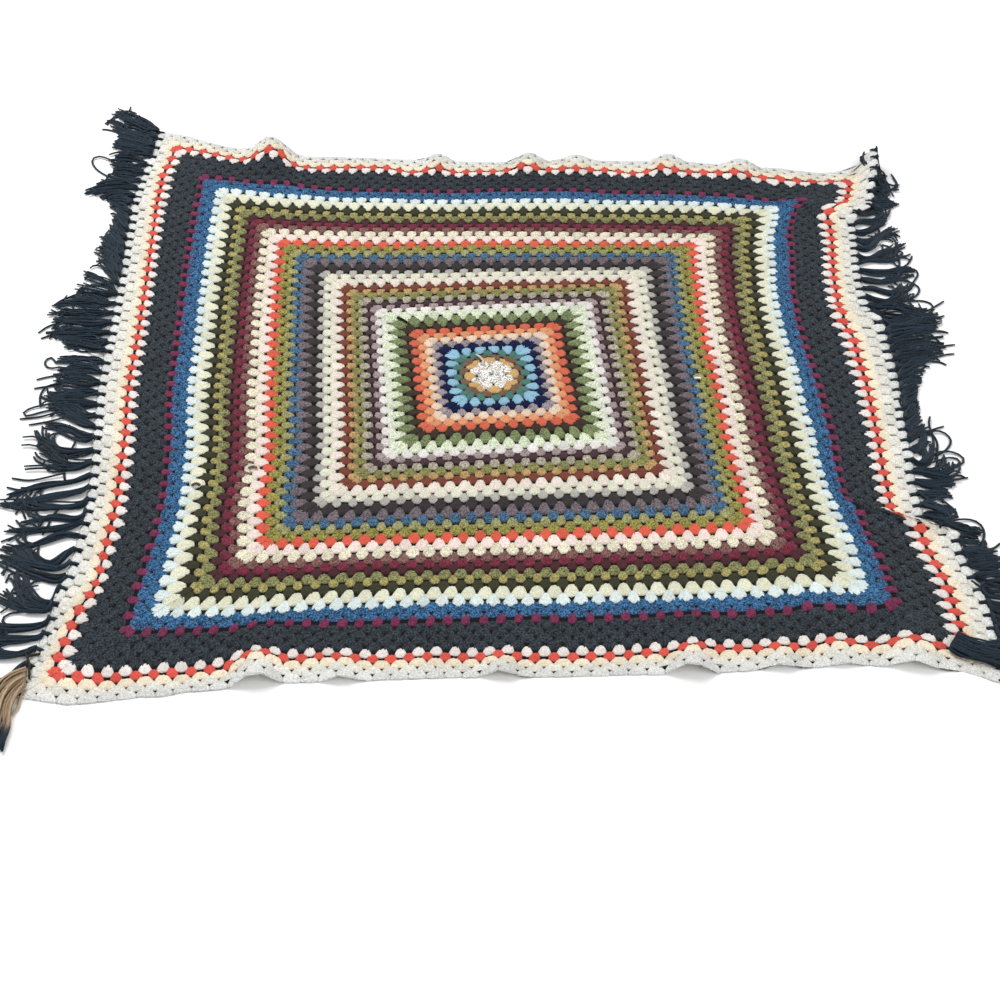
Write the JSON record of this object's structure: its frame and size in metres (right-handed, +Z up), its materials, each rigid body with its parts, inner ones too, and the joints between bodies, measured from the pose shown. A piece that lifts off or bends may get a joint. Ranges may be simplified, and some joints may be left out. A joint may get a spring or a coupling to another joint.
{
  "type": "granny square blanket",
  "caption": "Square crocheted blanket in concentric bands of many colours, with dark tassels along its left and right edges, lying open with a rippled border.",
  "frame": {"origin": "the middle of the cloth, on the surface that it lies on", "axes": "+X to the right along the near edge, so the two fringes point to -X and +X; +Y towards the far edge; +Z up out of the surface"},
  "size_m": [1.5493, 1.5536, 0.045],
  "materials": {
    "crochet_yarn": "matt worsted yarn in rounds of many colours",
    "fringe_yarn": "matt dark navy worsted yarn"
  },
  "bodies": {
    "root": {"cloth": "crochet_yarn", "fringe_left": "fringe_yarn", "fringe_right": "fringe_yarn"}
  },
  "joints": []
}
